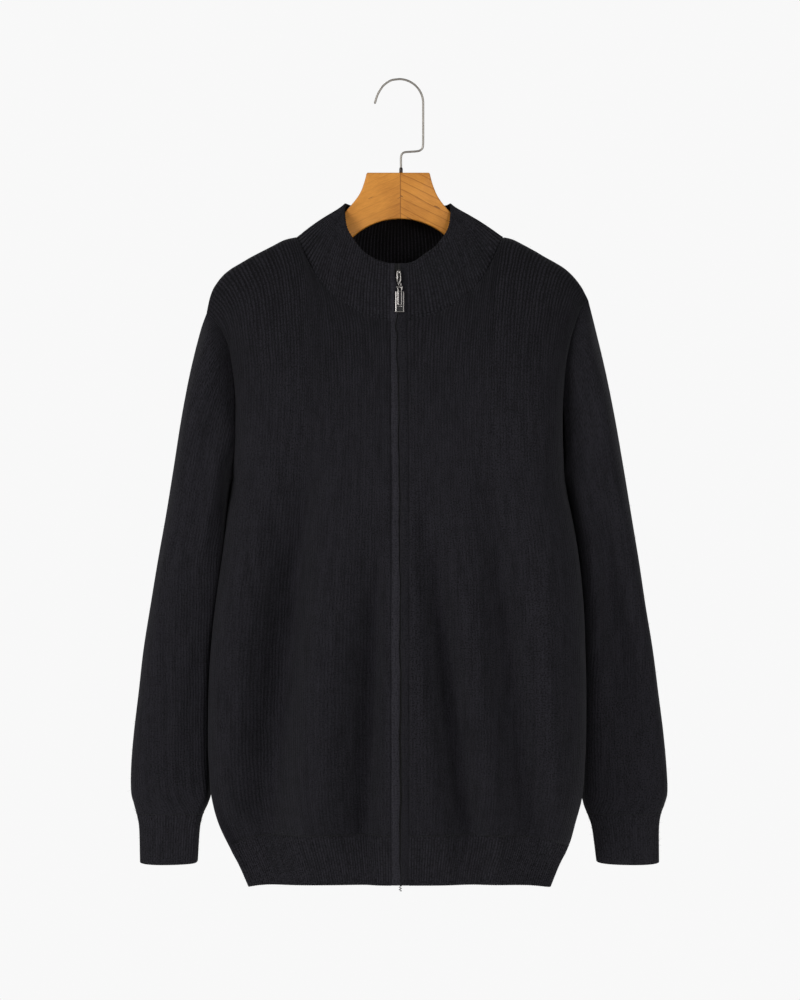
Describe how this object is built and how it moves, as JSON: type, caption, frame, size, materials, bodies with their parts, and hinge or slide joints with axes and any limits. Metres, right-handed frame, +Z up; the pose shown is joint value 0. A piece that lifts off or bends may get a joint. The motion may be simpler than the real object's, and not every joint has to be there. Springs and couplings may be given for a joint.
{
  "type": "zip cardigan on a wooden hanger",
  "caption": "Dark knitted long-sleeved cardigan with a full-length zip, ribbed funnel collar, hem and cuffs, hanging on a wooden hanger with a steel hook.",
  "frame": {"origin": "inside top of the hanger's hook, where it rests on a rail", "axes": "+Z up the hanger, -Y out of the garment's front, +X towards the wearer's left sleeve, which is on the right when seen from the front"},
  "size_m": [0.5945, 0.1726, 0.8891],
  "materials": {
    "knit": "matte fine wool knit, near black",
    "jersey": "smooth charcoal jersey facing",
    "zip_tape": "woven black tape with black teeth",
    "steel": "bright plated steel",
    "wood": "honey coloured lacquered wood",
    "ferrule_metal": "dark tarnished metal"
  },
  "bodies": {
    "garment": {"back": "knit", "front_left": "knit", "front_right": "knit", "sleeve_left": "knit", "sleeve_right": "knit", "collar": "knit", "hem_back": "knit", "hem_front_left": "knit", "hem_front_right": "knit", "cuff_left": "knit", "cuff_right": "knit", "facing_left": "jersey", "facing_right": "jersey", "zip_tape_left": "zip_tape", "zip_tape_right": "zip_tape", "zip_chain": "zip_tape", "zip_slider": "steel", "hanger_left": "wood", "hanger_right": "wood", "hook": "steel", "ferrule": "ferrule_metal"},
    "pull": {"zip_pull": "steel"}
  },
  "joints": [
    {"name": "pull_swing", "type": "hinge", "parent": "garment", "child": "pull", "pos_m": [-0.0006, -0.0561, -0.224], "axis": [-1, 0, 0], "range_deg": [0, 140]}
  ]
}
